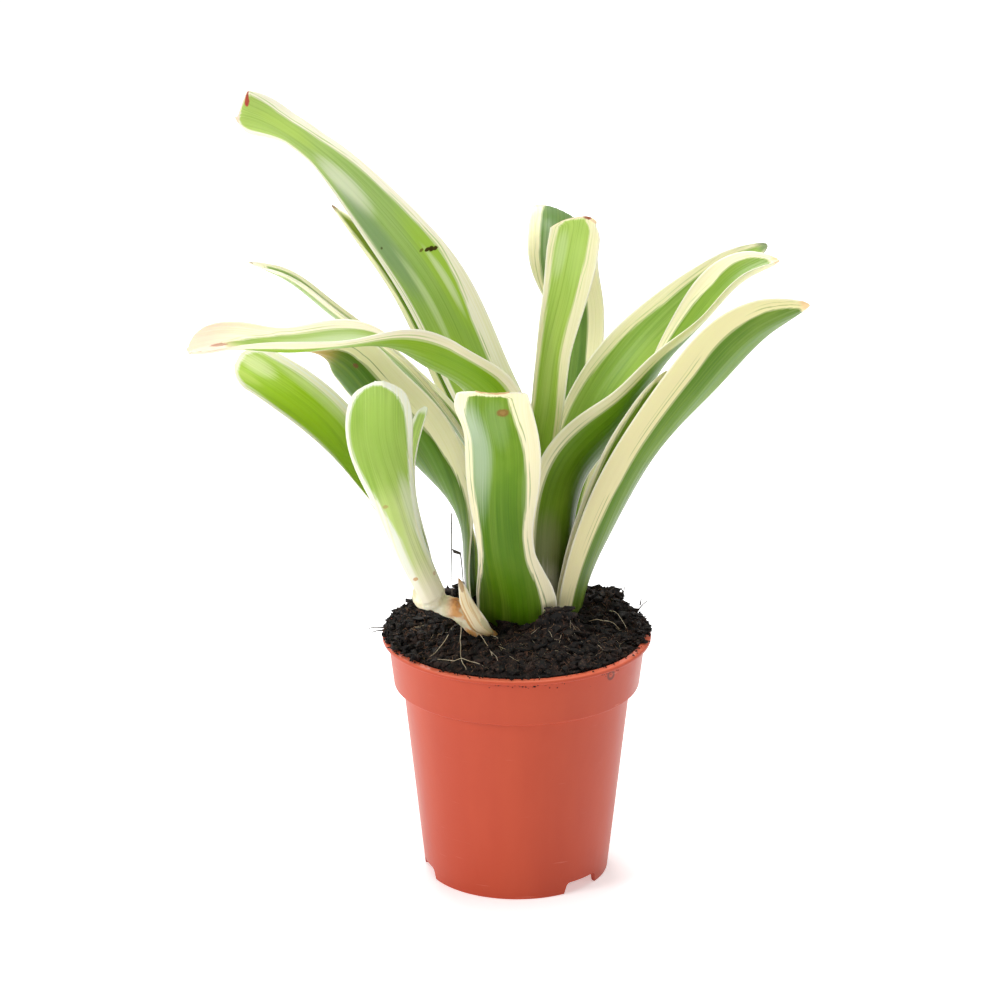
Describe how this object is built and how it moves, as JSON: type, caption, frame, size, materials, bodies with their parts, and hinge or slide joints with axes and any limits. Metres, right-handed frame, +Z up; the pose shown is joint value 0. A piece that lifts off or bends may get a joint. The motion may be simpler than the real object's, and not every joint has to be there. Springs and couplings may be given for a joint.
{
  "type": "potted bromeliad",
  "caption": "Variegated bromeliad: a loose rosette of arching strap leaves with cream margins and a small offset shoot, rooted in peat in a round terracotta-coloured plastic nursery pot.",
  "frame": {"origin": "on the surface that the pot stands on, under the middle of the whole plant's bounding box; the pot's own axis passes through x = 5.4 mm, y = -15.5 mm", "axes": "+Z up along the pot's axis; -Y towards the front, where the offset shoot grows to the left of the front leaf; +X to the right"},
  "size_m": [0.2002, 0.1476, 0.2636],
  "materials": {
    "pot_plastic": "satin",
    "peat": "matte",
    "pale_stem": "satin",
    "dry_scale": "matte",
    "leaf": "satin",
    "offset_leaf": "satin"
  },
  "bodies": {
    "root": {"pot": "pot_plastic", "soil": "peat", "crown_stem": "pale_stem", "offset_stem": "pale_stem", "offset_bract": "dry_scale", "leaf_front": "leaf", "leaf_right_front": "leaf", "leaf_right_short": "leaf", "leaf_right_broad": "leaf", "leaf_right_back": "leaf", "leaf_back": "leaf", "leaf_centre": "leaf", "leaf_left_tall": "leaf", "leaf_left_narrow": "leaf", "leaf_left_slender": "leaf", "leaf_left_arching": "leaf", "leaf_left_dark": "leaf", "offset_leaf_outer": "offset_leaf", "offset_leaf_front": "offset_leaf", "offset_leaf_inner": "offset_leaf"}
  },
  "joints": []
}
